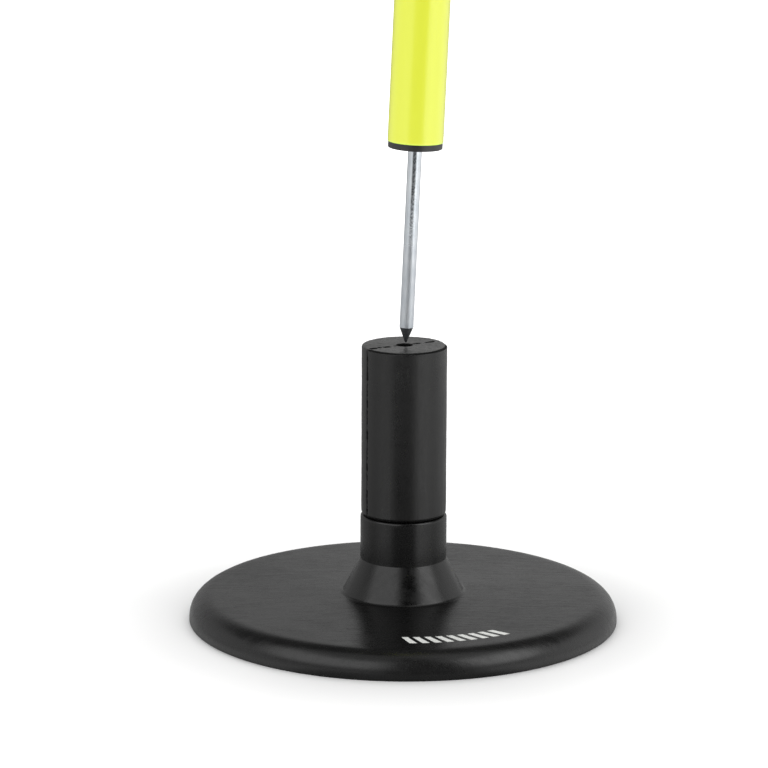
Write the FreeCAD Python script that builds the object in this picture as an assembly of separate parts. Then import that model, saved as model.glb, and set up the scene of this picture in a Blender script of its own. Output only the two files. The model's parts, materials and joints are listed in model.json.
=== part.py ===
"""Coaching pole with a steel ground spike, its rubber base and the adapter that holds the spike.

Millimetres, +Z up. The origin is the centre of the base's underside.
The pole is drawn out of the adapter, with the point of its spike just over the bore's mouth.
It leans a little, as it does in the play of the bore, and slides home along its own axis.
"""

import FreeCAD
import Part
import math
import os

# Rubber base: a disc with a rolled rim, a short cone and an upright hub
base_radius = 125.0
disc_height = 15.0            # top of the disc where the rim starts to roll over
disc_crown = 1.5              # how much the disc rises from the rim to the foot of the cone
rim_roll = 13.0               # radius of the rolled rim
rim_foot = 0.8                # rounding where the rim meets the ground
cone_foot_radius = 35.5
cone_foot_fillet = 2.5
cone_height = 20.5            # from the disc up to the hub's straight wall
hub_radius = 25.1
hub_top = 63.0
hub_edge = 1.6                # rounding of the hub's top edge
socket_lead = 0.8             # rounding at the socket's mouth
drain_radius = 3.5            # lets rain and trapped air out of the socket

# Adapter: a rubber column with a stem that stands in the hub's socket
adapter_radius = 24.7
adapter_height = 100.1        # from the hub's top to the adapter's top face
adapter_top_edge = 1.2
adapter_low_edge = 2.4
stem_radius = 16.0
stem_length = 48.0
stem_chamfer = 2.0
stem_root_fillet = 0.5
stem_clearance = 0.3          # all round, between the stem and the socket
stem_end_clearance = 2.0      # between the stem's end and the socket's floor
guide_length = 30.0           # stretch of the bore that steadies the spike
guide_clearance = 0.75        # all round, between the spike and the bore
bore_mouth_edge = 0.3
relief_clearance = 4.6        # wider stretch of the bore below the guide
relief_step = 3.0             # slope between the guide and the wider stretch

# Pole: a plastic tube with a plug at each end and a steel spike in the lower plug
pole_lean_deg = 2.4
tube_radius = 16.0
tube_wall = 2.0
tube_length = 1500.0
tube_end_edge = 0.4
plug_fit = 0.05               # all round, between a plug and the tube's inside
plug_depth = 30.0
plug_chamfer = 1.5
flange_inset = 0.4            # the foot plug's flange is this much under the tube's radius
flange_height = 3.7
flange_edge = 0.6
cap_height = 5.0
cap_roll = 3.5
cap_depth = 18.0

spike_radius = 4.0
spike_exposed = 113.0         # from the flange to the point
point_length = 9.0
point_flat = 0.5              # radius of the blunted tip
shank_length = 24.0           # stretch of the spike held inside the foot plug
shank_groove_depth = 0.8
shank_groove_width = 3.0
shank_groove_count = 3
tip_above_bore = 1.5          # the point's height over the adapter's top face

# Places worked out from the sizes above
cone_top = disc_height + disc_crown + cone_height
socket_radius = stem_radius + stem_clearance
socket_floor = hub_top - stem_length - stem_end_clearance
adapter_top = hub_top + adapter_height
guide_radius = spike_radius + guide_clearance
relief_radius = spike_radius + relief_clearance
lean_pivot = adapter_top - guide_length / 2
tube_inner_radius = tube_radius - tube_wall
plug_radius = tube_inner_radius - plug_fit
flange_bottom = spike_exposed
tube_bottom = flange_bottom + flange_height
tube_top = tube_bottom + tube_length


def rounded_wire(corners):
    """Closed outline through (radius, height, rounding) corners in the XZ plane."""
    points = [FreeCAD.Vector(radius, 0, height) for radius, height, rounding in corners]
    ends = []
    for index, corner in enumerate(points):
        rounding = corners[index][2]
        to_last = (points[index - 1] - corner).normalize()
        to_next = (points[(index + 1) % len(points)] - corner).normalize()
        if rounding == 0:
            ends.append((corner, None, corner))
            continue
        half_angle = to_last.getAngle(to_next) / 2
        reach = rounding / math.tan(half_angle)
        inward = (to_last + to_next).normalize()
        middle = corner + inward * (rounding / math.sin(half_angle) - rounding)
        ends.append((corner + to_last * reach, middle, corner + to_next * reach))
    edges = []
    for index, (start, middle, end) in enumerate(ends):
        if middle is not None:
            edges.append(Part.Arc(start, middle, end).toShape())
        next_start = ends[(index + 1) % len(ends)][0]
        if end.distanceToPoint(next_start) > 1e-6:
            edges.append(Part.LineSegment(end, next_start).toShape())
    return Part.Wire(edges)


def turned(corners):
    """Solid of revolution about Z from an outline of (radius, height, rounding) corners."""
    face = Part.Face(rounded_wire(corners))
    return face.revolve(FreeCAD.Vector(0, 0, 0), FreeCAD.Vector(0, 0, 1), 360)


def on_pole(shape):
    """Places a shape made with the spike's point at the origin onto the leaning pole axis."""
    lean = math.radians(pole_lean_deg)
    tip_height = adapter_top + tip_above_bore
    tip_offset = (tip_height - lean_pivot) * math.tan(lean)
    turn = FreeCAD.Rotation(FreeCAD.Vector(0, 1, 0), pole_lean_deg)
    placed = shape.copy()
    placed.Placement = FreeCAD.Placement(FreeCAD.Vector(tip_offset, 0, tip_height), turn)
    return placed


def rubber_base():
    """Disc, cone and hub in one moulding, with the socket and its drain hole."""
    return turned([
        (drain_radius, 0, 0),
        (base_radius, 0, rim_foot),
        (base_radius, disc_height, rim_roll),
        (cone_foot_radius, disc_height + disc_crown, cone_foot_fillet),
        (hub_radius, cone_top, 0),
        (hub_radius, hub_top, hub_edge),
        (socket_radius, hub_top, socket_lead),
        (socket_radius, socket_floor, 0),
        (drain_radius, socket_floor, 0),
    ])


def spike_adapter():
    """Column that stands on the hub, its stem in the socket, bored for the spike."""
    stem_end = hub_top - stem_length
    relief_top = adapter_top - guide_length - relief_step
    return turned([
        (relief_radius, stem_end, 0),
        (stem_radius - stem_chamfer, stem_end, 0),
        (stem_radius, stem_end + stem_chamfer, 0),
        (stem_radius, hub_top, stem_root_fillet),
        (adapter_radius, hub_top, adapter_low_edge),
        (adapter_radius, adapter_top, adapter_top_edge),
        (guide_radius, adapter_top, bore_mouth_edge),
        (guide_radius, adapter_top - guide_length, 0),
        (relief_radius, relief_top, 0),
    ])


def ground_spike():
    """Plated steel rod with a conical point and a grooved shank for the plug to grip."""
    shank_top = flange_bottom + shank_length
    corners = [
        (0, 0, 0),
        (point_flat, 0, 0),
        (spike_radius, point_length, 0),
    ]
    pitch = shank_length / (shank_groove_count + 1)
    for number in range(shank_groove_count):
        groove_low = flange_bottom + pitch * (number + 1) - shank_groove_width / 2
        groove_high = groove_low + shank_groove_width
        corners.append((spike_radius, groove_low, 0))
        corners.append((spike_radius - shank_groove_depth, groove_low, 0))
        corners.append((spike_radius - shank_groove_depth, groove_high, 0))
        corners.append((spike_radius, groove_high, 0))
    corners.append((spike_radius, shank_top, 0))
    corners.append((0, shank_top, 0))
    return turned(corners)


def foot_plug():
    """Plug moulded round the spike's shank: a flange under the tube and a body inside it."""
    flange_radius = tube_radius - flange_inset
    plug_top = tube_bottom + plug_depth
    body = turned([
        (0, flange_bottom, 0),
        (flange_radius, flange_bottom, flange_edge),
        (flange_radius, tube_bottom, 0),
        (plug_radius, tube_bottom, 0),
        (plug_radius, plug_top - plug_chamfer, 0),
        (plug_radius - plug_chamfer, plug_top, 0),
        (0, plug_top, 0),
    ])
    return body.cut(ground_spike()).Solids[0]


def pole_tube():
    """Plain round tube with softened ends."""
    return turned([
        (tube_inner_radius, tube_bottom, 0),
        (tube_radius, tube_bottom, tube_end_edge),
        (tube_radius, tube_top, tube_end_edge),
        (tube_inner_radius, tube_top, 0),
    ])


def top_cap():
    """Domed stopper that closes the upper end of the tube."""
    return turned([
        (0, tube_top - cap_depth, 0),
        (plug_radius - plug_chamfer, tube_top - cap_depth, 0),
        (plug_radius, tube_top - cap_depth + plug_chamfer, 0),
        (plug_radius, tube_top, 0),
        (tube_radius, tube_top, 0),
        (tube_radius, tube_top + cap_height, cap_roll),
        (0, tube_top + cap_height, 0),
    ])


nodes = {
    "rubber_base": rubber_base(),
    "spike_adapter": spike_adapter(),
    "ground_spike": on_pole(ground_spike()),
    "foot_plug": on_pole(foot_plug()),
    "pole_tube": on_pole(pole_tube()),
    "top_cap": on_pole(top_cap()),
}

os.makedirs("parts", exist_ok=True)
for node, shape in nodes.items():
    shape.exportStep("parts/" + node + ".step")
    box = shape.BoundBox
    print(node, shape.ShapeType, shape.isValid(), "%.1f cm3" % (shape.Volume / 1000),
          "z %.1f to %.1f" % (box.ZMin, box.ZMax))
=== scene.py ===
import json
import math

import bpy
import numpy as np
from mathutils import Matrix, Vector


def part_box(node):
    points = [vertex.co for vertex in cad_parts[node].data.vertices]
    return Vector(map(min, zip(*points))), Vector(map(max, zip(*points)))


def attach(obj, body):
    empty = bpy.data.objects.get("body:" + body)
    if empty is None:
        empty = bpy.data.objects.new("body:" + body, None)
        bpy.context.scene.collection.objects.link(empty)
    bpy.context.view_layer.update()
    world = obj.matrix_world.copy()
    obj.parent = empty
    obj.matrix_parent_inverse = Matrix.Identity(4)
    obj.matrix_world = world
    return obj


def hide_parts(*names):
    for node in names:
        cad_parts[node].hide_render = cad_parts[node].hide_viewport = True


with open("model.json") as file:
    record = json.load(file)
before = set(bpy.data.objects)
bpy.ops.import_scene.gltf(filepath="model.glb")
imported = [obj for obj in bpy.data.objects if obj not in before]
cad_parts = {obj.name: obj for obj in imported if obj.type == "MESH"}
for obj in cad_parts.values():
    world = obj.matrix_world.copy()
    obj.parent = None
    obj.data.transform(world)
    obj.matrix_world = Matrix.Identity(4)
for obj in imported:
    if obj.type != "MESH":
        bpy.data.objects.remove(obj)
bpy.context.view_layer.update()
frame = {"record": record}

mm = 0.001              # shapes are worked out in millimetres, and meshObject writes them in metres
tau = 2 * math.pi
noFaces = np.zeros((0, 3), int)


def smoothStep(value, low, high):
    # 0 below low, 1 above high, with a soft S between them
    share = np.clip((value - low) / (high - low), 0, 1)
    return share * share * (3 - 2 * share)


def bell(value, width):
    # 1 at zero, falling off to both sides over width
    return np.exp(-(value / width) ** 2)


def wander(along, seed, waves, longest):
    # Sum of sine waves, each shorter and weaker than the last, with seeded phases: about -1 to 1
    shorter, weaker, reach = 1.7, 0.8, 1.6
    random = np.random.default_rng(seed)
    total = np.zeros_like(np.asarray(along, float))
    weight = 0
    for wave in range(waves):
        length = longest / (shorter ** wave)
        strength = weaker ** wave
        total = total + strength * np.sin(tau * along / length + random.uniform(0, tau))
        weight += strength
    return total / weight * reach


def roundTheAxis(angle, seed, waves):
    # The same as wander, but it closes on itself round a full turn
    random = np.random.default_rng(seed)
    total = np.zeros_like(angle)
    for wave in range(1, waves + 1):
        total = total + np.sin(wave * angle + random.uniform(0, tau)) / wave
    return total / math.log(waves + 1.5)      # the logarithm is about the sum's greatest value


def roundedOutline(corners, closed, step, arcSteps):
    # Straight runs between (radius, height, rounding) corners. A corner with a rounding becomes the arc that
    # touches both runs: it starts rounding / tan(half the corner's angle) away from the corner.
    points = np.array([corner[:2] for corner in corners], float)
    pieces = []
    for index, point in enumerate(points):
        rounding = corners[index][2]
        atEnd = not closed and index in (0, len(points) - 1)
        if rounding == 0 or atEnd:
            pieces.append(point[None, :])
            continue
        back = points[index - 1] - point
        ahead = points[(index + 1) % len(points)] - point
        back = back / np.linalg.norm(back)
        ahead = ahead / np.linalg.norm(ahead)
        half = math.acos(np.clip(back @ ahead, -1, 1)) / 2
        middle = (back + ahead) / np.linalg.norm(back + ahead)
        centre = point + middle * rounding / math.sin(half)
        reach = rounding / math.tan(half)
        first = point + back * reach - centre
        last = point + ahead * reach - centre
        turn = math.atan2(first[0] * last[1] - first[1] * last[0], first @ last)
        angles = np.linspace(0, turn, max(arcSteps, int(abs(turn) * rounding / step) + 2))
        cosine, sine = np.cos(angles), np.sin(angles)
        arc = np.stack([first[0] * cosine - first[1] * sine, first[0] * sine + first[1] * cosine], 1)
        pieces.append(centre + arc)
    rows = []
    count = len(pieces) if closed else len(pieces) - 1
    for index in range(count):
        start = pieces[index][-1]
        end = pieces[(index + 1) % len(pieces)][0]
        runs = max(1, math.ceil(np.linalg.norm(end - start) / step))
        share = np.linspace(0, 1, runs + 1)[1:-1, None]
        rows.append(pieces[index])
        rows.append(start + (end - start) * share)
    if not closed:
        rows.append(pieces[-1])
    return np.concatenate(rows)


def meshObject(name, vertices, quads, triangles, material, smoothAngle=40, mark=None):
    # Writes whole arrays into a mesh and keeps edges sharper than smoothAngle crisp. mark is a number for
    # each vertex, which the piece's material may read.
    mesh = bpy.data.meshes.new(name)
    corners = np.concatenate([quads.ravel(), triangles.ravel()]).astype(np.int32)
    sizes = np.concatenate([np.full(len(quads), 4), np.full(len(triangles), 3)])
    starts = np.concatenate([[0], np.cumsum(sizes)[:-1]]).astype(np.int32)
    mesh.vertices.add(len(vertices))
    mesh.vertices.foreach_set("co", (vertices * mm).astype(np.float32).ravel())
    mesh.loops.add(len(corners))
    mesh.loops.foreach_set("vertex_index", corners)
    mesh.polygons.add(len(sizes))
    mesh.polygons.foreach_set("loop_start", starts)
    if mark is not None:
        values = mesh.attributes.new("mark", "FLOAT", "POINT").data
        values.foreach_set("value", mark.astype(np.float32))
    mesh.update(calc_edges=True)
    mesh.validate()
    mesh.shade_smooth()
    mesh.set_sharp_from_angle(angle=math.radians(smoothAngle))
    mesh.materials.append(material)
    piece = bpy.data.objects.new(name, mesh)
    bpy.context.collection.objects.link(piece)
    return piece


def latheQuads(rows, columns, closed):
    # Indices of the quads between neighbouring outline points and neighbouring angles. They face outwards
    # where the outline runs anticlockwise in the radius-height plane.
    index = np.arange(rows * columns).reshape(rows, columns)
    nextRow = np.roll(index, -1, axis=0)
    if not closed:
        index, nextRow = index[:-1], nextRow[:-1]
    nextColumn = np.roll(index, -1, axis=1)
    nextBoth = np.roll(nextRow, -1, axis=1)
    return np.stack([index, nextColumn, nextBoth, nextRow], -1).reshape(-1, 4)


def lathe(name, outline, angles, material, closed=True, shape=None, place=None):
    # x = radius cos(angle), y = radius sin(angle), z = height. shape moves the radius and height of the whole
    # grid and marks its points, and place turns the finished points onto another axis. An open outline ends
    # on the axis, where a fan of triangles closes it.
    onAxisFirst = not closed and outline[0, 0] < 1e-6
    onAxisLast = not closed and outline[-1, 0] < 1e-6
    body = outline[int(onAxisFirst):len(outline) - int(onAxisLast)]
    angle = np.broadcast_to(angles, (len(body), len(angles)))
    radius = np.repeat(body[:, :1], len(angles), 1)
    height = np.repeat(body[:, 1:], len(angles), 1)
    mark = np.zeros_like(radius)
    if shape is not None:
        radius, height, mark = shape(radius, height, angle)
    vertices = np.stack([radius * np.cos(angle), radius * np.sin(angle), height], -1).reshape(-1, 3)
    marks = [mark.ravel()]
    ring = np.arange(len(angles))
    fans = [noFaces]
    if onAxisFirst:
        fans.append(np.stack([np.full(len(ring), len(vertices)), np.roll(ring, -1), ring], -1))
        vertices = np.vstack([vertices, [0, 0, outline[0, 1]]])
        marks.append(mark[:1, 0])
    if onAxisLast:
        last = ring + (len(body) - 1) * len(angles)
        fans.append(np.stack([np.full(len(ring), len(vertices)), last, np.roll(last, -1)], -1))
        vertices = np.vstack([vertices, [0, 0, outline[-1, 1]]])
        marks.append(mark[-1:, 0])
    if place is not None:
        vertices = place(vertices)
    quads = latheQuads(len(body), len(angles), closed)
    return meshObject(name, vertices, quads, np.concatenate(fans), material, mark=np.concatenate(marks))


def evenAngles(count):
    return np.linspace(0, tau, count, endpoint=False)


class NodeSheet:
    # A node tree with short calls to add nodes and join them
    def __init__(self, tree):
        self.tree = tree
        self.tree.nodes.clear()

    def add(self, kind, values=None, **settings):
        node = self.tree.nodes.new(kind)
        for key, value in settings.items():
            setattr(node, key, value)
        for key, value in (values or {}).items():
            if isinstance(value, bpy.types.NodeSocket):
                self.join(value, node.inputs[key])
            else:
                node.inputs[key].default_value = value
        return node

    def join(self, source, target):
        self.tree.links.new(source, target)

    def finish(self, values):
        # Sets the shader's own sockets, or joins them to what makes them
        for key, value in values.items():
            if isinstance(value, bpy.types.NodeSocket):
                self.join(value, self.shader.inputs[key])
            else:
                self.shader.inputs[key].default_value = value
        return self.material

    def objectPoint(self):
        return self.add("ShaderNodeTexCoord").outputs["Object"]

    def markValue(self):
        return self.add("ShaderNodeAttribute", attribute_name="mark").outputs["Fac"]

    def stretched(self, point, scale):
        return self.add("ShaderNodeMapping", {"Vector": point, "Scale": scale}).outputs[0]

    def noise(self, point, scale, detail, roughness):
        return self.add("ShaderNodeTexNoise", {"Vector": point, "Scale": scale, "Detail": detail,
                                               "Roughness": roughness}).outputs["Fac"]

    def cells(self, point, scale):
        return self.add("ShaderNodeTexVoronoi", {"Vector": point, "Scale": scale}).outputs["Distance"]

    def span(self, value, low, high, outLow=0.0, outHigh=1.0, kind="LINEAR"):
        values = {"Value": value, "From Min": low, "From Max": high, "To Min": outLow, "To Max": outHigh}
        return self.add("ShaderNodeMapRange", values, interpolation_type=kind).outputs["Result"]

    def soft(self, value, low, high, outLow=0.0, outHigh=1.0):
        return self.span(value, low, high, outLow, outHigh, "SMOOTHSTEP")

    def math(self, operation, first, second=0.0):
        return self.add("ShaderNodeMath", {0: first, 1: second}, operation=operation).outputs[0]

    def plus(self, first, second):
        return self.math("ADD", first, second)

    def times(self, first, *factors):
        for factor in factors:
            first = self.math("MULTIPLY", first, factor)
        return first

    def length(self, point):
        return self.add("ShaderNodeVectorMath", {0: point}, operation="LENGTH").outputs["Value"]

    def choose(self, share, first, second):
        # first where share is 0, second where it is 1, and a mix of the two numbers between
        return self.add("ShaderNodeMix", {"Factor": share, 2: first, 3: second}, data_type="FLOAT").outputs[0]

    def blend(self, share, first, second):
        # The same for two colours
        return self.add("ShaderNodeMix", {"Factor": share, 6: first, 7: second}, data_type="RGBA").outputs[2]

    def bump(self, height, distance, strength=1.0, under=None):
        node = self.add("ShaderNodeBump", {"Height": height, "Distance": distance, "Strength": strength})
        if under is not None:
            self.join(under, node.inputs["Normal"])
        return node.outputs["Normal"]


def materialSheet(name):
    # A new material's sheet, its shader joined to the output
    material = bpy.data.materials.new(name)
    material.use_nodes = True
    sheet = NodeSheet(material.node_tree)
    sheet.material = material
    sheet.shader = sheet.add("ShaderNodeBsdfPrincipled")
    sheet.join(sheet.shader.outputs["BSDF"], sheet.add("ShaderNodeOutputMaterial").inputs["Surface"])
    return sheet


def grey(level, tint=(1, 1, 1)):
    return (level * tint[0], level * tint[1], level * tint[2], 1)


rubberLook = {"dark": 0.0018, "worn": 0.0040, "gloss": 0.20, "dull": 0.34, "specular": 0.5,
              "mottleScale": 9.0, "streakScale": 60.0, "speckScale": 420.0,
              "drawnScale": 520.0, "drawnGloss": 0.02,             # fine streaks in the gloss
              "nickScale": 240.0, "nick": 0.0012, "nickDull": 0.12,
              # torn also blackens the crease and pits: the torn skin's own black together with painted shade
              # in these recesses
              "torn": 0.0004, "tornDull": 0.60,                    # where the skin is torn open
              "scuff": 0.013, "scuffWidth": 0.0045,                # rubbed grey beyond a radius
              "dust": 0.050, "dustScale": 260.0, "dustDull": 0.05,
              "rippleScale": 38.0, "rippleHeight": 0.00016, "wipeScale": 170.0, "wipeHeight": 0.00005,
              "grainScale": 900.0, "grainHeight": 0.000015}


def rubberMaterial(name, look, wipe, dustFrom=None, scuffFrom=None):
    # Black moulded rubber: cloudy colour and gloss, streaks along wipe, a few dark nicks, a slow ripple and a
    # fine skin grain. Marked points are torn, creased or pitted: black and dull, which is the torn skin's own
    # colour together with painted shade in these recesses. Dust lies above the height dustFrom, and the
    # rubber is rubbed greyer beyond the radius scuffFrom.
    sheet = materialSheet(name)
    point = sheet.objectPoint()
    wiped = sheet.stretched(point, wipe)
    clouds = sheet.choose(0.5, sheet.noise(point, look["mottleScale"], 3, 0.5),
                          sheet.noise(point, look["mottleScale"] * 5, 5, 0.6))
    mixed = sheet.choose(0.45, clouds, sheet.noise(wiped, look["streakScale"], 3, 0.5))
    specks = sheet.noise(point, look["speckScale"], 2, 0.5)
    colour = sheet.blend(sheet.span(mixed, 0.35, 0.65), grey(look["dark"], (1, 1, 1.03)),
                         grey(look["worn"], (1, 0.99, 0.97)))
    rough = sheet.plus(mixed, sheet.times(specks, 0.25))
    roughness = sheet.span(rough, 0.50, 0.76, look["gloss"], look["dull"])
    if dustFrom is not None:
        height = sheet.add("ShaderNodeSeparateXYZ", {0: point}).outputs["Z"]
        blotches = sheet.span(sheet.noise(point, look["dustScale"], 5, 0.7), 0.35, 0.7, 0.35, 1)
        dust = sheet.times(sheet.span(height, dustFrom - 0.2 * mm, dustFrom), blotches)
        colour = sheet.blend(dust, colour, grey(look["dust"], (1, 1, 0.96)))
        roughness = sheet.plus(roughness, sheet.times(dust, look["dustDull"]))
    if scuffFrom is not None:
        parts = sheet.add("ShaderNodeSeparateXYZ", {0: point})
        flat = sheet.add("ShaderNodeCombineXYZ", {0: parts.outputs["X"], 1: parts.outputs["Y"]}).outputs[0]
        rubbed = sheet.times(sheet.span(sheet.length(flat), scuffFrom, scuffFrom + look["scuffWidth"]),
                             sheet.span(clouds, 0.35, 0.65, 0.7, 1))
        colour = sheet.blend(rubbed, colour, grey(look["scuff"]))
    drawn = sheet.noise(wiped, look["drawnScale"], 2, 0.5)
    roughness = sheet.plus(roughness, sheet.span(drawn, 0.35, 0.65, -look["drawnGloss"], look["drawnGloss"]))
    nicks = sheet.span(sheet.noise(wiped, look["nickScale"], 5, 0.75), 0.66, 0.72)
    colour = sheet.blend(nicks, colour, grey(look["nick"]))
    roughness = sheet.plus(roughness, sheet.times(nicks, look["nickDull"]))
    # painted shade: marked tears, crease and pits are blackened, over the torn skin's own dull black
    torn = sheet.markValue()
    colour = sheet.blend(sheet.span(torn, 0.06, 0.26), colour, grey(look["torn"]))
    roughness = sheet.plus(roughness, sheet.span(torn, 0.05, 0.26, 0, look["tornDull"]))
    ripple = sheet.bump(sheet.noise(point, look["rippleScale"], 2, 0.4), look["rippleHeight"])
    streaks = sheet.bump(sheet.noise(wiped, look["wipeScale"], 3, 0.6), look["wipeHeight"], under=ripple)
    grain = sheet.bump(sheet.noise(point, look["grainScale"], 3, 0.6), look["grainHeight"], under=streaks)
    return sheet.finish({"Base Color": colour, "Roughness": roughness, "Normal": grain,
                         "Specular IOR Level": look["specular"]})


# The edge colour and the glows are painted light: a highlight on the cut end and a glow all over the tube.
yellowLook = {"colour": (0.82, 0.88, 0.026, 1), "pale": (0.85, 0.90, 0.038, 1), "edge": (0.74, 1.0, 0.10, 1),
              "paintedGlow": (0.86, 1.0, 0.02, 1), "paintedGlowStrength": 0.18, "paintedEdgeGlow": 0.30, "gloss": 0.24,
              "dull": 0.33, "specular": 1.0, "coat": 1.0, "coatRoughness": 0.22, "coatIor": 1.62,
              "cloudScale": 22.0, "drawnScale": 700.0, "drawnHeight": 0.00002}


def yellowMaterial(name, look):
    # Extruded fluorescent plastic under a clear skin, with a painted glow all over that stands in for its
    # dye's fluorescence. Faint draw lines run along the tube, the gloss is cloudy, and the cut end has a
    # painted highlight: a paler, greener colour and a stronger painted glow.
    sheet = materialSheet(name)
    point = sheet.objectPoint()
    drawn = sheet.noise(sheet.stretched(point, (1, 1, 0.01)), look["drawnScale"], 3, 0.5)
    clouds = sheet.noise(sheet.stretched(point, (1, 1, 0.3)), look["cloudScale"], 3, 0.5)
    cut = sheet.markValue()
    body = sheet.blend(clouds, look["colour"], look["pale"])
    # painted light: the emission all over, and the paler colour and stronger emission on the cut end
    return sheet.finish({
        "Base Color": sheet.blend(cut, body, look["edge"]),
        "Emission Color": look["paintedGlow"],
        "Emission Strength": sheet.span(cut, 0, 1, look["paintedGlowStrength"], look["paintedEdgeGlow"]),
        "Coat Weight": look["coat"], "Coat Roughness": look["coatRoughness"], "Coat IOR": look["coatIor"],
        "Roughness": sheet.span(clouds, 0.3, 0.7, look["gloss"], look["dull"]),
        "Normal": sheet.bump(drawn, look["drawnHeight"], 0.5),
        "Specular IOR Level": look["specular"]})


zincLook = {"bright": (0.82, 0.85, 0.88, 1), "dull": (0.60, 0.65, 0.70, 1), "point": (0.20, 0.21, 0.22, 1),
            "gloss": 0.11, "rough": 0.20, "wear": 0.34,
            "pointEnd": (0.0775, 0.0790), "wearEnd": (0.30, 0.62),       # shares of the rod that shows
            "patchScale": 420.0, "cloudScale": 130.0, "drawnScale": 1100.0, "drawnHeight": 0.00002,
            "dentScale": 1100.0, "dentHeight": 0.00012, "plainDents": 0.22}


def zincMaterial(name, look):
    # Bright zinc plating: small crystal patches, lengthwise draw marks and soft dull spots. The mark runs
    # from 0 at the point up the rod: the lower rod is scuffed dull, and the point is darker and rough.
    sheet = materialSheet(name)
    point = sheet.objectPoint()
    patches = sheet.cells(sheet.stretched(point, (1, 1, 0.35)), look["patchScale"])
    drawn = sheet.noise(sheet.stretched(point, (1, 1, 0.03)), look["drawnScale"], 3, 0.6)
    clouds = sheet.noise(sheet.stretched(point, (1, 1, 0.4)), look["cloudScale"], 4, 0.6)
    tone = sheet.choose(0.75, patches, clouds)
    plated = sheet.blend(sheet.span(tone, 0.3, 0.75), look["bright"], look["dull"])
    along = sheet.markValue()
    cone = sheet.span(along, *look["pointEnd"], 1, 0)
    worn = sheet.span(along, *look["wearEnd"], look["wear"], 0)
    facets = sheet.cells(sheet.stretched(point, (1, 1, 0.5)), look["dentScale"])
    dents = sheet.times(facets, sheet.span(cone, 0, 1, look["plainDents"], 1))
    lines = sheet.bump(drawn, look["drawnHeight"], 0.6)
    return sheet.finish({
        "Base Color": sheet.blend(cone, plated, look["point"]),
        "Roughness": sheet.plus(sheet.span(clouds, 0.3, 0.7, look["gloss"], look["rough"]), worn),
        "Normal": sheet.bump(dents, look["dentHeight"], 0.8, lines),
        "Metallic": 1})


plugLook = {"dark": 0.010, "pale": 0.017, "gloss": 0.34, "dull": 0.46, "specular": 0.9,
            "cloudScale": 70.0, "grainScale": 1500.0, "grainHeight": 0.00003}


def plugMaterial(name, look):
    # Satin moulded plastic with a fine spark-etched grain
    sheet = materialSheet(name)
    point = sheet.objectPoint()
    clouds = sheet.noise(point, look["cloudScale"], 3, 0.5)
    return sheet.finish({
        "Base Color": sheet.blend(clouds, grey(look["dark"]), grey(look["pale"])),
        "Roughness": sheet.span(clouds, 0.3, 0.7, look["gloss"], look["dull"]),
        "Normal": sheet.bump(sheet.noise(point, look["grainScale"], 2, 0.5), look["grainHeight"], 0.6),
        "Specular IOR Level": look["specular"]})


inkLook = {"colour": (0.76, 0.77, 0.74, 1), "thin": (0.55, 0.56, 0.54, 1), "gloss": 0.42, "dull": 0.6,
           "cloudScale": 260.0, "grainScale": 1200.0, "grainHeight": 0.00002}


def inkMaterial(name, look):
    # White screen print with thinner, greyer patches where the rubber's grain shows through
    sheet = materialSheet(name)
    point = sheet.objectPoint()
    clouds = sheet.noise(point, look["cloudScale"], 4, 0.6)
    return sheet.finish({
        "Base Color": sheet.blend(sheet.span(clouds, 0.5, 0.8), look["colour"], look["thin"]),
        "Roughness": sheet.span(clouds, 0.3, 0.7, look["gloss"], look["dull"]),
        "Normal": sheet.bump(sheet.noise(point, look["grainScale"], 2, 0.5), look["grainHeight"], 0.6)})


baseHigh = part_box("rubber_base")[1]
base = {"radius": baseHigh[0] / mm, "hubTop": baseHigh[2] / mm, "discHeight": 15.0, "crown": 1.5,
        "rimRoll": 13.0, "rimFoot": 0.8, "coneFoot": 35.5, "coneFillet": 2.5, "coneHeight": 20.5,
        "hubRadius": 25.1, "hubFoot": 0.5, "hubEdge": 1.6, "socketRadius": 16.3, "socketLead": 0.8,
        "socketFloor": 13.0, "drainRadius": 3.5,
        "sink": 0.12,                                     # how far the moulding's faces dip at most
        "moldLine": 1.7, "moldWidth": 0.22, "moldDepth": 0.25,
        "scuffInset": 6.0, "wipe": (1.0, 6.0, 1.0), "columns": 384, "step": 2.6, "arcSteps": 9}


def baseShape(radius, height, angle):
    # The moulding's slow unevenness, always inward of the true outline: the disc's top dips and the rim's
    # edge wavers by up to sink, and a fine mould line runs round the rim just over the ground.
    size = base
    flat = smoothStep(radius, size["coneFoot"] + 6, size["coneFoot"] + 20) * smoothStep(height, 8, 13)
    swell = 0.5 + 0.5 * roundTheAxis(angle * 2 + radius * 0.02, 11, 5)
    height = height - size["sink"] * flat * np.clip(swell, 0, 1)
    rim = smoothStep(radius, size["radius"] - 12, size["radius"] - 4) * smoothStep(height, 0.2, 1.0)
    radius = radius - size["sink"] * rim * np.clip(0.5 + 0.5 * roundTheAxis(angle * 3, 12, 6), 0, 1)
    radius = radius - size["moldDepth"] * rim * bell(height - size["moldLine"], size["moldWidth"])
    return radius, height, np.zeros_like(radius)


def discTop(radius):
    # Height of the disc's top face: a straight fall from the cone's foot to the rim
    share = (base["radius"] - radius) / (base["radius"] - base["coneFoot"])
    return base["discHeight"] + base["crown"] * share


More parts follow.
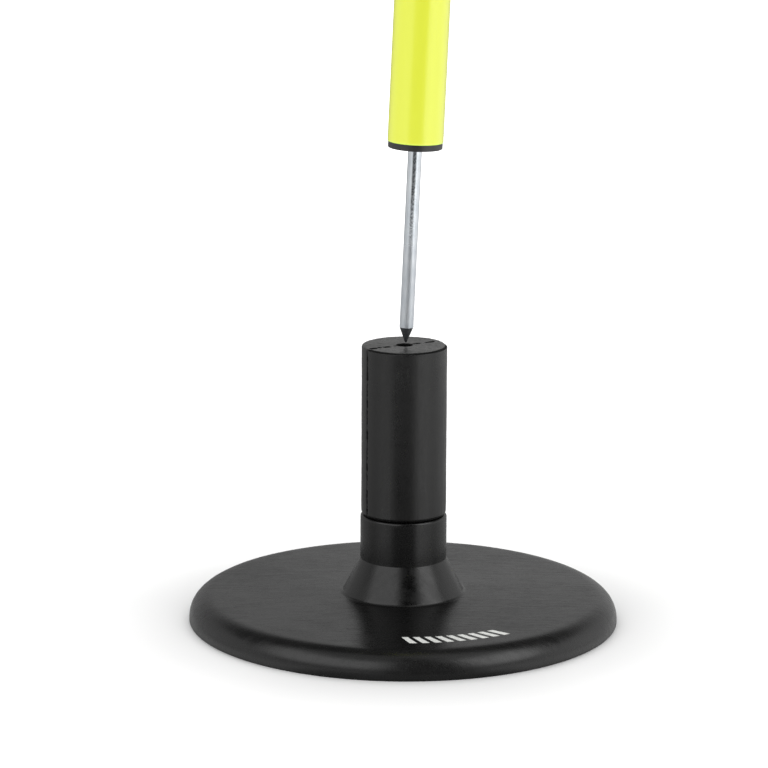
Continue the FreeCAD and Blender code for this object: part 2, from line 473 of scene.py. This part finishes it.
def makeBase():
    size = base
    outline = roundedOutline([
        (size["drainRadius"], 0, 0),
        (size["radius"], 0, size["rimFoot"]),
        (size["radius"], size["discHeight"], size["rimRoll"]),
        (size["coneFoot"], size["discHeight"] + size["crown"], size["coneFillet"]),
        (size["hubRadius"], size["discHeight"] + size["crown"] + size["coneHeight"], size["hubFoot"]),
        (size["hubRadius"], size["hubTop"], size["hubEdge"]),
        (size["socketRadius"], size["hubTop"], size["socketLead"]),
        (size["socketRadius"], size["socketFloor"], 0),
        (size["drainRadius"], size["socketFloor"], 0),
    ], True, size["step"], size["arcSteps"])
    scuffFrom = (size["radius"] - size["scuffInset"]) * mm
    material = rubberMaterial("BaseRubber", rubberLook, size["wipe"], scuffFrom=scuffFrom)
    piece = lathe("RubberBase", outline, evenAngles(size["columns"]), material, shape=baseShape)
    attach(piece, "base")
    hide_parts("rubber_base")
    print("rubber base", len(outline), "outline points", flush=True)


# The print on the disc is a plain row of slanted bars, with angles in degrees from the right-hand side
bars = {"radius": 97.0, "start": -89.5, "end": -54.0, "count": 9, "height": 11.0, "fill": 0.58, "slant": 4.5,
        "proud": 0.05, "thickness": 0.09, "across": 6, "along": 10}


def makeBars():
    # Each bar is a patch in polar coordinates about the hub: angle across the bar, radius along it, and a
    # slant that carries the outer end round by a few millimetres. It follows the disc's top face.
    size = bars
    pitch = (size["end"] - size["start"]) / size["count"]
    across, along = np.meshgrid(np.linspace(0, 1, size["across"]), np.linspace(-0.5, 0.5, size["along"]))
    index = np.arange(across.size).reshape(across.shape)
    patch = np.stack([index[:-1, :-1], index[:-1, 1:], index[1:, 1:], index[1:, :-1]], -1).reshape(-1, 4)
    radius = size["radius"] + along * size["height"]
    lean = np.degrees(along * size["slant"] / size["radius"])
    barVertices = []
    barQuads = []
    for bar in range(size["count"]):
        turn = np.radians(size["start"] + pitch * (bar + size["fill"] * across) + lean)
        reach, height, _ = baseShape(radius, discTop(radius), turn)
        height = height + size["proud"]
        barVertices.append(np.stack([reach * np.cos(turn), reach * np.sin(turn), height], -1).reshape(-1, 3))
        barQuads.append(patch + bar * across.size)
    quads = np.concatenate(barQuads)[:, ::-1]
    material = inkMaterial("WhiteInk", inkLook)
    piece = meshObject("PrintedBars", np.concatenate(barVertices), quads, noFaces, material)
    wall = piece.modifiers.new("InkThickness", "SOLIDIFY")
    wall.thickness = size["thickness"] * mm
    wall.offset = -1
    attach(piece, "base")
    print("printed bars", size["count"], flush=True)


adapterLow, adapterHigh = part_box("spike_adapter")
adapter = {"radius": adapterHigh[0] / mm, "top": adapterHigh[2] / mm, "stemEnd": adapterLow[2] / mm,
           "topEdge": 1.2, "lowEdge": 2.4, "stemRadius": 16.0, "stemChamfer": 2.0, "stemRoot": 0.5,
           "guideRadius": 4.75, "guideLength": 30.0, "mouthEdge": 0.3, "reliefRadius": 8.6,
           "reliefStep": 3.0,
           "seamTurn": 210.0, "seamWidth": 0.60, "seamDepth": 1.1,        # the torn parting seam
           "creaseDepth": 0.90, "creaseWidth": 0.36, "creaseDrop": 0.45,  # in the top edge
           "pitWidth": 0.85, "pitDepth": 1.6,                             # the dashed tear across the top
           "lipWidth": 0.5, "lipBeside": 1.4, "lipHeight": 0.14,
           "topSink": 0.15, "sideSink": 0.10, "dustDrop": 0.45, "wipe": (1.0, 1.0, 0.12),
           "columns": 232, "seamColumns": 33, "seamReach": 3.4, "step": 0.62, "arcSteps": 14, "thinning": 6}
adapterLook = dict(rubberLook, dark=0.0032, worn=0.0075, gloss=0.27, dull=0.40, specular=0.58,
                   grainHeight=0.00003, rippleHeight=0.00028, wipeHeight=0.00009, drawnGloss=0.045,
                   nick=0.0016)


def seamNearness(radius, angle, width):
    # 1 on the mould's parting plane, falling off as a bell over width to each side of it
    return bell(radius * np.sin(angle - math.radians(adapter["seamTurn"])), width)


def adapterShape(radius, height, angle):
    # A torn parting seam down both sides and across the top, a crease in the top edge round the near half,
    # and slow unevenness. Every move is inward of the true outline. The mark is how deep a point is torn,
    # creased or pitted; the material blackens it, partly as painted shade in these recesses.
    size = adapter
    fromSeam = angle - math.radians(size["seamTurn"])
    side = np.where(np.cos(fromSeam) > 0, 0.0, 37.0)      # the seam's two sides tear differently
    onSide = smoothStep(radius, size["radius"] - 0.6, size["radius"] - 0.1) * (height > base["hubTop"] + 0.5)
    torn = np.clip(0.85 + 0.9 * wander(height + side, 21, 5, 9), 0.2, 1.6)
    wide = size["seamWidth"] * (0.8 + 0.5 * np.clip(wander(height + side, 22, 6, 19), -0.9, 1.2))
    shift = 0.22 * wander(height + side, 23, 6, 36)
    tear = torn * seamNearness(radius, angle + shift / size["radius"], wide) * onSide
    radius = radius - size["seamDepth"] * tear
    sway = 0.5 + 0.5 * wander(height, 25, 4, 46) * np.cos(2 * angle + 0.6)
    radius = radius - size["sideSink"] * onSide * sway
    # the crease cuts the top edge's rounding on the slant, from seam to seam round the near half
    nearHalf = smoothStep(np.sin(fromSeam), 0.0, 0.10)
    onEdge = smoothStep(radius, size["radius"] - 1.6, size["radius"] - 0.9)
    crease = bell(height - (size["top"] - size["creaseDrop"]), size["creaseWidth"]) * nearHalf * onEdge
    crease = crease * np.clip(0.8 + 0.4 * roundTheAxis(angle * 3, 26, 7), 0.3, 1.2)
    radius = radius - size["creaseDepth"] * crease
    height = height - size["creaseDepth"] * 0.6 * crease
    # the top face: dashed tears along the parting plane with small lips beside them
    onTop = smoothStep(height, size["top"] - 0.5, size["top"] - 0.05)
    onTop = onTop * smoothStep(radius, size["guideRadius"] + 0.2, size["guideRadius"] + 1.2)
    dashes = np.clip(wander(radius + side, 31, 4, 8.5) * 2.4 + 0.75, 0, 1.25)
    bend = 0.35 * wander(radius + side, 32, 3, 16) / np.maximum(radius, 3)
    beside = size["lipBeside"] / np.maximum(radius, 4)
    pit = seamNearness(radius, angle + bend, size["pitWidth"]) * dashes * onTop
    lip = seamNearness(radius, angle + bend + beside, size["lipWidth"]) * dashes * onTop
    rough = 0.5 + 0.5 * wander(radius * np.cos(angle), 33, 4, 11) * wander(radius * np.sin(angle), 34, 4, 9)
    height = height - onTop * size["topSink"] * np.clip(rough, 0, 1)
    height = np.minimum(height - size["pitDepth"] * pit + size["lipHeight"] * lip, size["top"])
    # the bore's mouth is stretched along the seam and a little ragged
    mouth = smoothStep(height, size["top"] - 3.0, size["top"] - 0.2)
    mouth = mouth * smoothStep(-radius, -(size["guideRadius"] + 1.0), -size["guideRadius"])
    pull = 0.15 * np.cos(fromSeam) ** 6 + 0.07 * (1 + roundTheAxis(angle, 35, 9))
    radius = radius + mouth * pull
    # the mark carries torn skin and painted shade in the crease and pits
    return radius, height, np.clip(tear + 1.4 * crease + 2.6 * pit, 0, 1)


def adapterAngles():
    # Even steps all round, with close ones over both sides of the seam
    reach = adapter["seamReach"]
    even = np.degrees(evenAngles(adapter["columns"]))
    turns = []
    for side in (adapter["seamTurn"], adapter["seamTurn"] - 180):
        even = even[np.abs((even - side + 180) % 360 - 180) > reach + 0.2]
        turns.append((side + np.linspace(-reach, reach, adapter["seamColumns"])) % 360)
    return np.radians(np.sort(np.concatenate([even] + turns)))


def makeAdapter():
    size = adapter
    top, hub = size["top"], base["hubTop"]
    guideEnd = top - size["guideLength"]
    outline = roundedOutline([
        (size["reliefRadius"], size["stemEnd"], 0),
        (size["stemRadius"] - size["stemChamfer"], size["stemEnd"], 0),
        (size["stemRadius"], size["stemEnd"] + size["stemChamfer"], 0),
        (size["stemRadius"], hub, size["stemRoot"]),
        (size["radius"], hub, size["lowEdge"]),
        (size["radius"], top, size["topEdge"]),
        (size["guideRadius"], top, size["mouthEdge"]),
        (size["guideRadius"], guideEnd, 0),
        (size["reliefRadius"], guideEnd - size["reliefStep"], 0),
    ], True, size["step"], size["arcSteps"])
    # the stem and the bore's depth are plain, so they keep only every sixth row
    plain = (outline[:, 0] < size["stemRadius"] + 0.4) & (outline[:, 1] < top - 4)
    outline = outline[~plain | (np.arange(len(outline)) % size["thinning"] == 0)]
    dustFrom = (top - size["dustDrop"]) * mm
    material = rubberMaterial("AdapterRubber", adapterLook, size["wipe"], dustFrom)
    piece = lathe("SpikeAdapter", outline, adapterAngles(), material, shape=adapterShape)
    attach(piece, "adapter")
    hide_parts("spike_adapter")
    print("spike adapter", len(outline), "outline points", flush=True)


# The tube, foot plug, spike and top cap share one leaning axis, and heights run up it from the spike's point
pole = {"tubeRadius": 16.0, "tubeWall": 2.0, "tubeLength": 1500.0, "tubeEdge": 0.4, "cutEnd": (0.4, 1.2),
        "tubeSink": 0.03, "plugFit": 0.05, "plugDepth": 30.0, "plugChamfer": 1.5, "flangeInset": 0.4,
        "flangeHeight": 3.7, "flangeEdge": 0.6, "capHeight": 5.0, "capRoll": 3.5, "capDepth": 18.0,
        "spikeRadius": 4.0, "spikeExposed": 113.0, "pointLength": 9.0, "pointFlat": 0.5, "shank": 24.0,
        "play": 0.01, "columns": 96}
pole["tubeBottom"] = pole["spikeExposed"] + pole["flangeHeight"]
pole["tubeTop"] = pole["tubeBottom"] + pole["tubeLength"]
pole["plugRadius"] = pole["tubeRadius"] - pole["tubeWall"] - pole["plugFit"]

slide = [joint for joint in frame["record"]["behaviour"]["joints"] if joint["name"] == "pole_slide"][0]
poleAxis = np.array(slide["axis"]) / np.linalg.norm(slide["axis"])
tubeLow, tubeHigh = (np.array(corner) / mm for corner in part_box("pole_tube"))
polePoint = (tubeLow + tubeHigh) / 2 - poleAxis * (pole["tubeBottom"] + pole["tubeLength"] / 2)


def onPole(vertices):
    # Turns points made round Z, with the spike's point at the origin, onto the pole's own axis
    turn = np.array(Vector((0, 0, 1)).rotation_difference(Vector(poleAxis)).to_matrix())
    return vertices @ turn.T + polePoint


def tubeShape(radius, height, angle):
    # An extrusion's slight unevenness, inward only: it changes slowly along the tube and round it. The mark
    # is 1 on the lower cut end, where the material paints a highlight.
    outside = radius > pole["tubeRadius"] - 0.5
    wavy = radius - outside * pole["tubeSink"] * (1 + wander(height, 41, 3, 700) * np.cos(2 * angle))
    return wavy, height, 1 - smoothStep(height - pole["tubeBottom"], *pole["cutEnd"])


def makeTube():
    size = pole
    inner = size["tubeRadius"] - size["tubeWall"]
    outline = roundedOutline([
        (inner, size["tubeBottom"], 0),
        (size["tubeRadius"], size["tubeBottom"], size["tubeEdge"]),
        # the paler end is the cut end's painted highlight
        (size["tubeRadius"], size["tubeBottom"] + 0.9, 0),       # these two rows keep the paler end short
        (size["tubeRadius"], size["tubeBottom"] + 1.3, 0),
        (size["tubeRadius"], size["tubeTop"], size["tubeEdge"]),
        (inner, size["tubeTop"], 0),
    ], True, 12, 6)
    material = yellowMaterial("YellowPlastic", yellowLook)
    piece = lathe("PoleTube", outline, evenAngles(size["columns"]), material, shape=tubeShape, place=onPole)
    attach(piece, "pole")
    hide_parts("pole_tube")
    print("pole tube", len(outline), "outline points", flush=True)


def makePlug():
    size = pole
    fit = size["plugRadius"]
    hole = size["spikeRadius"] + size["play"]
    flange = size["tubeRadius"] - size["flangeInset"]
    top = size["tubeBottom"] + size["plugDepth"]
    shankTop = size["spikeExposed"] + size["shank"] + size["play"]
    outline = roundedOutline([
        (hole, size["spikeExposed"], 0),
        (flange, size["spikeExposed"], size["flangeEdge"]),
        (flange, size["tubeBottom"], 0.12),
        (fit, size["tubeBottom"], 0),
        (fit, top - size["plugChamfer"], 0),
        (fit - size["plugChamfer"], top, 0),
        (0, top, 0),
        (0, shankTop, 0),
        (hole, shankTop, 0),
    ], True, 1.5, 7)
    # the outline is opened along the axis, so that it starts and ends there
    ends = np.flatnonzero(outline[:, 0] < 1e-6)
    outline = np.roll(outline, -ends[-1], axis=0)[:len(outline) - len(ends) + 2]
    piece = lathe("FootPlug", outline, evenAngles(size["columns"]), plugMaterial("PlugPlastic", plugLook),
                  closed=False, place=onPole)
    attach(piece, "pole")
    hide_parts("foot_plug")
    print("foot plug", len(outline), "outline points", flush=True)


def spikeShape(radius, height, angle):
    # No change of shape: the mark runs from 0 at the point to 1 at the foot plug
    return radius, height, height / pole["spikeExposed"]


def makeSpike():
    size = pole
    top = size["spikeExposed"] + size["shank"]
    outline = roundedOutline([
        (0, 0, 0),
        (size["pointFlat"], 0, 0.12),
        (size["spikeRadius"], size["pointLength"], 0.7),
        (size["spikeRadius"], top, 0.3),
        (0, top, 0),
    ], False, 1.2, 7)
    piece = lathe("GroundSpike", outline, evenAngles(size["columns"]), zincMaterial("ZincPlate", zincLook),
                  closed=False, shape=spikeShape, place=onPole)
    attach(piece, "pole")
    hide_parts("ground_spike")
    print("ground spike", len(outline), "outline points", flush=True)


def makeCap():
    size = pole
    fit = size["plugRadius"]
    low = size["tubeTop"] - size["capDepth"]
    outline = roundedOutline([
        (0, low, 0),
        (fit - size["plugChamfer"], low, 0),
        (fit, low + size["plugChamfer"], 0),
        (fit, size["tubeTop"], 0),
        (size["tubeRadius"], size["tubeTop"], 0.1),
        (size["tubeRadius"], size["tubeTop"] + size["capHeight"], size["capRoll"]),
        (0, size["tubeTop"] + size["capHeight"], 0),
    ], False, 1.5, 9)
    piece = lathe("TopCap", outline, evenAngles(size["columns"]), plugMaterial("CapPlastic", plugLook),
                  closed=False, place=onPole)
    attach(piece, "pole")
    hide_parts("top_cap")
    print("top cap", len(outline), "outline points", flush=True)


view = {"lens": 161.1, "sensor": 36, "distance": 1.983, "pitch": 12.68, "targetX": -0.0117, "targetZ": 0.1399,
        "roll": 0.25}


def makeCamera():
    # Looks down at the target by pitch from straight in front, then rolls about its own line of sight
    pitch = math.radians(view["pitch"])
    camera = bpy.data.objects.new("Camera", bpy.data.cameras.new("Camera"))
    camera.data.lens = view["lens"]
    camera.data.sensor_width = view["sensor"]
    camera.data.clip_end = 100
    turn = Matrix.Rotation(math.pi / 2 - pitch, 4, "X") @ Matrix.Rotation(math.radians(view["roll"]), 4, "Z")
    place = Vector((view["targetX"], -view["distance"] * math.cos(pitch),
                    view["targetZ"] + view["distance"] * math.sin(pitch)))
    camera.matrix_world = Matrix.Translation(place) @ turn
    bpy.context.collection.objects.link(camera)
    bpy.context.scene.camera = camera
    print("camera", flush=True)


# What mirror rays see of the studio. Gaps are angles from straight ahead or straight back, in radians, and
# edges and walls are heights on a ball round the object, from -1 below it to 1 above.
studio = {"gapInner": 0.40, "gapOuter": 0.66, "gapShift": 0.25, "leftGain": 0.76, "rightGain": 1.18,
          "backLeft": 0.376, "backRight": 0.528, "sideLevel": 0.72, "bandLevel": 0.12, "boxLevel": 2.08,
          "frontEdge": 0.25, "backEdge": 0.93, "boxFade": (-0.10, 0.26), "frontWall": 0.17, "backWall": 0.55,
          "wallFade": (-0.05, 0.05), "backGap": 0.50, "backGapFade": 0.15, "backGapLevel": 0.1,
          "topFade": (0.78, 0.94), "topLevel": 0.30, "sideFade": (-0.3, 0.3), "backSideFade": (-0.15, 0.15),
          "gapFade": (-0.06, 0.12), "backFrom": (0.3, 0.8), "edgeFrom": (-0.3, 0.4), "wallFrom": (-0.5, 0.3),
          "ambient": 0.688}

# The white sweep. Reaches are distances on the floor in metres, and turns are angles away from the front.
floorLook = {"size": 60.0, "colour": 0.82,
             # for camera rays the paper tone near the disc is darker: a painted shadow
             "paintedShadowPaper": 0.87, "paper": 0.97, "paintedShadowReach": (0.12, 0.19),          # camera rays
             "lift": 0.04, "farLift": 0.40, "liftReach": (0.35, 2.5),
             "shadowReach": (0.13, 0.22), "shadowLift": 2.5,
             "frontLevel": 0.20, "brightReach": (0.72, 0.84), "bright": 8.0,       # mirror rays
             "endReach": (0.90, 1.32), "end": 0.03, "grazeReach": (0.6, 0.9), "grazeLevel": 0.55,
             "farGraze": 0.82, "grazeTurn": (0.9, 1.5), "sideTurn": (1.8, 2.5), "sideLevel": 0.70,
             "behindTurn": (2.2, 3.0), "behindLevel": 0.35}


def frontTurn(sheet, point, shift=0.0):
    # The parts of a point or direction, and its angle about Z away from the front, or from shift beside it
    parts = sheet.add("ShaderNodeSeparateXYZ", {0: point})
    turn = sheet.math("ARCTAN2", parts.outputs["X"], sheet.times(parts.outputs["Y"], -1.0))
    return parts, sheet.math("ABSOLUTE", sheet.math("SUBTRACT", turn, shift))


def makeFloor():
    # White sweep: it shades like paper, and glows a little towards the camera, except close to the object,
    # where its shadow lies; there its paper tone is also darker, a painted shadow round the disc. In mirror
    # rays it is dim in the opening in front, with a bright strip before the paper's near end and black
    # beyond it, and at the sides and behind it fades with distance and turn.
    look = floorLook
    sheet = materialSheet("WhiteFloor")
    path = sheet.add("ShaderNodeLightPath")
    camera, glossy = path.outputs["Is Camera Ray"], path.outputs["Is Glossy Ray"]
    point = sheet.objectPoint()
    distance = sheet.length(point)
    parts, away = frontTurn(sheet, point)
    ahead = sheet.times(parts.outputs["Y"], -1.0)
    front = sheet.times(sheet.soft(ahead, *look["brightReach"], 1.0, look["bright"]),
                        sheet.soft(ahead, *look["endReach"], 1.0, look["end"]), look["frontLevel"])
    behind = sheet.choose(sheet.soft(distance, *look["grazeReach"]), 1.0,
                          sheet.soft(away, *look["behindTurn"], 1.0, look["behindLevel"]))
    graze = sheet.choose(sheet.soft(away, *look["grazeTurn"]), 1.0,
                         sheet.soft(distance, *look["grazeReach"], look["grazeLevel"], look["farGraze"]))
    gain = sheet.soft(parts.outputs["X"], *studio["sideFade"], studio["leftGain"], studio["rightGain"])
    rest = sheet.times(sheet.soft(away, *look["sideTurn"], 1.0, look["sideLevel"]), behind, graze, gain)
    mirrored = sheet.choose(sheet.soft(away, studio["gapInner"], studio["gapOuter"]), front, rest)
    shade = sheet.choose(glossy, 1.0, mirrored)
    # painted shadow: the paper tone is darker close round the disc
    paper = sheet.soft(distance, *look["paintedShadowReach"], look["paintedShadowPaper"], look["paper"])
    tone = sheet.choose(camera, sheet.times(shade, look["colour"]), paper)
    colour = sheet.add("ShaderNodeCombineColor", {0: tone, 1: tone, 2: tone}).outputs[0]
    far = sheet.soft(distance, *look["liftReach"], look["lift"], look["farLift"])
    clear = sheet.soft(distance, *look["shadowReach"], 0.0, look["shadowLift"])
    seen = sheet.math("MAXIMUM", camera, sheet.math("MAXIMUM", glossy, path.outputs["Is Transmission Ray"]))
    lift = sheet.times(seen, shade, sheet.choose(camera, far, sheet.times(far, clear)))
    material = sheet.finish({"Base Color": colour, "Roughness": 1, "Specular IOR Level": 0,
                             "Emission Color": (1, 1, 1, 1), "Emission Strength": lift})
    half = look["size"] / 2 / mm
    corners = np.array([(-half, -half, 0), (half, -half, 0), (half, half, 0), (-half, half, 0)])
    floor = meshObject("Floor", corners, np.array([[0, 1, 2, 3]]), noFaces, material)
    print("floor", flush=True)


def makeWorld():
    # Camera rays see white. Mirror rays see a studio: a pale wall low behind and at the sides, a dark band
    # over it, big soft boxes above that, and dark openings straight in front and straight behind between the
    # boxes. Everything else gets an even grey.
    look = studio
    world = bpy.data.worlds.new("Studio")
    bpy.context.scene.world = world
    world.use_nodes = True
    sheet = NodeSheet(world.node_tree)
    parts, away = frontTurn(sheet, sheet.add("ShaderNodeTexCoord").outputs["Generated"], look["gapShift"])
    right, back, up = (parts.outputs[name] for name in "XYZ")
    side = sheet.soft(right, *look["sideFade"], look["leftGain"], look["rightGain"])
    sides = sheet.soft(away, *(look["gapInner"] + fade for fade in look["gapFade"]))
    backLevel = sheet.soft(right, *look["backSideFade"], look["backLeft"], look["backRight"])
    wall = sheet.choose(sheet.soft(back, *look["backFrom"]), sheet.times(side, look["sideLevel"]), backLevel)
    wall = sheet.times(wall, sides)
    edge = sheet.soft(back, *look["edgeFrom"], look["frontEdge"], look["backEdge"])
    boxUp = sheet.soft(sheet.math("SUBTRACT", up, edge), *look["boxFade"])
    gapTurn = math.pi - look["backGap"]
    behind = sheet.soft(away, gapTurn - look["backGapFade"], gapTurn + look["backGapFade"], 1.0,
                        look["backGapLevel"])
    top = sheet.soft(up, *look["topFade"], 1.0, look["topLevel"])
    box = sheet.times(sides, behind, side, top, look["boxLevel"])
    wallTop = sheet.soft(back, *look["wallFrom"], look["frontWall"], look["backWall"])
    low = sheet.soft(sheet.math("SUBTRACT", up, wallTop), *look["wallFade"], 1.0, 0.0)
    tent = sheet.choose(low, sheet.choose(boxUp, look["bandLevel"], box), wall)
    path = sheet.add("ShaderNodeLightPath")
    mirror = sheet.math("MAXIMUM", path.outputs["Is Glossy Ray"], path.outputs["Is Transmission Ray"])
    level = sheet.choose(path.outputs["Is Camera Ray"], sheet.choose(mirror, look["ambient"], tent), 1.0)
    background = sheet.add("ShaderNodeBackground", {"Color": (1, 1, 1, 1), "Strength": level})
    sheet.join(background.outputs[0], sheet.add("ShaderNodeOutputWorld").inputs["Surface"])
    print("studio", flush=True)


lampLevel = 1.35
lampAim = (0, 0, 0.15)
lamps = [
    {"name": "LeftBox", "place": (-1.5, -0.7, 1.5), "size": (1.2, 1.2), "share": 1.1},
    {"name": "RightBox", "place": (1.5, -0.7, 1.5), "size": (1.2, 1.2), "share": 1.3},
    {"name": "BackBox", "place": (0.0, 1.5, 1.7), "size": (1.8, 1.0), "share": 2.2},
]


def makeLamps():
    # Each lamp's power gives its face the brightness share x lampLevel: power = brightness x pi x area.
    # Mirror rays see the studio's soft boxes in place of the lamps.
    for lamp in lamps:
        data = bpy.data.lights.new(lamp["name"], "AREA")
        data.shape = "RECTANGLE"
        data.size, data.size_y = lamp["size"]
        data.energy = lamp["share"] * lampLevel * math.pi * data.size * data.size_y
        light = bpy.data.objects.new(lamp["name"], data)
        place = Vector(lamp["place"])
        aim = Vector(lampAim) - place
        light.matrix_world = Matrix.Translation(place) @ aim.to_track_quat("-Z", "Y").to_matrix().to_4x4()
        light.visible_glossy = False
        bpy.context.collection.objects.link(light)
    print("lamps", len(lamps), flush=True)


makeCamera()
makeWorld()
makeFloor()
makeLamps()
makeBase()
makeBars()
makeAdapter()
makeTube()
makePlug()
makeSpike()
makeCap()

bpy.context.scene.view_settings.view_transform = "Standard"
